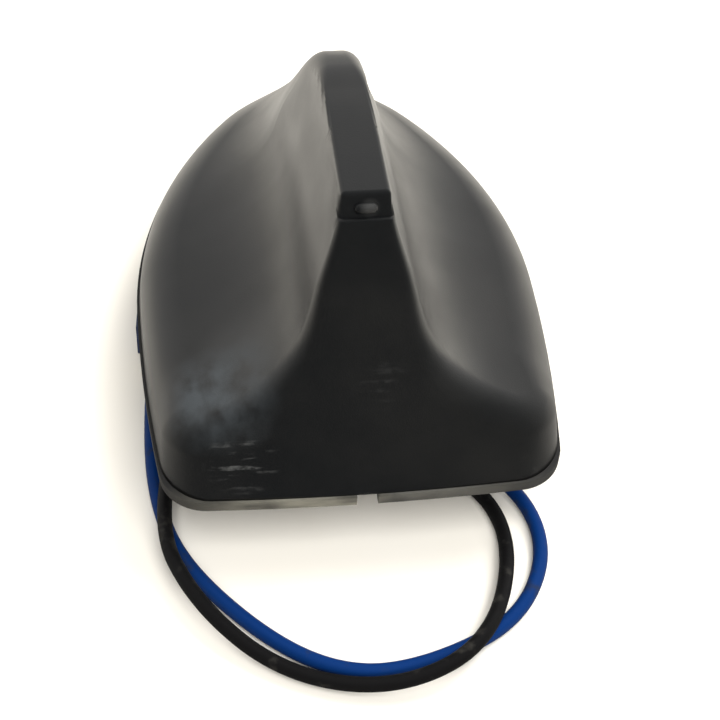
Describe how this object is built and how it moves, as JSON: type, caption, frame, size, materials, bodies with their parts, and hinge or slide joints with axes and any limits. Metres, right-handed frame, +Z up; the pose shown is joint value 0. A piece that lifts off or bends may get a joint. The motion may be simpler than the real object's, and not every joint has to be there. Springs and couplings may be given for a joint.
{
  "type": "car roof antenna",
  "caption": "Fin-shaped car roof antenna: hollow plastic cover on a rim seal, base with keyed spigot and clamp claw, and thin cable tails ending in plugs.",
  "frame": {"origin": "centre of the hole in the roof, on the roof's outer skin, which is the underside of the seal", "axes": "+Y towards the car's front, +X to the car's right, +Z up and away from the roof"},
  "size_m": [0.0862, 0.1567, 0.0732],
  "materials": {
    "cover_plastic": "satin black, lightly scuffed",
    "seal_rubber": "dusty grey-black",
    "base_metal": "die-cast",
    "ring_rubber": "soft black",
    "screw_steel": "zinc-plated",
    "claw_steel": "spring steel sheet",
    "board": "green solder mask",
    "patch_ceramic": "ceramic",
    "can_metal": "tinned sheet",
    "black_jacket": "satin black",
    "blue_jacket": "satin blue",
    "black_plug_plastic": "satin black",
    "blue_plug_plastic": "satin blue",
    "crimp_metal": "nickel-plated",
    "contact_brass": "gold-plated"
  },
  "bodies": {
    "root": {"cover": "cover_plastic", "rim_seal": "seal_rubber", "base_plate": "base_metal", "hole_seal": "ring_rubber", "cover_screws": "screw_steel", "roof_claw": "claw_steel", "claw_washer": "screw_steel", "clamp_bolt": "screw_steel", "main_board": "board", "board_screws": "screw_steel", "gps_patch": "patch_ceramic", "shield_can": "can_metal", "phone_blade": "board", "cable_grommet": "ring_rubber", "black_cable": "black_jacket", "black_crimp": "crimp_metal", "black_plug": "black_plug_plastic", "black_contact": "contact_brass", "blue_cable": "blue_jacket", "blue_crimp": "crimp_metal", "blue_plug": "blue_plug_plastic", "blue_contact": "contact_brass"}
  },
  "joints": []
}
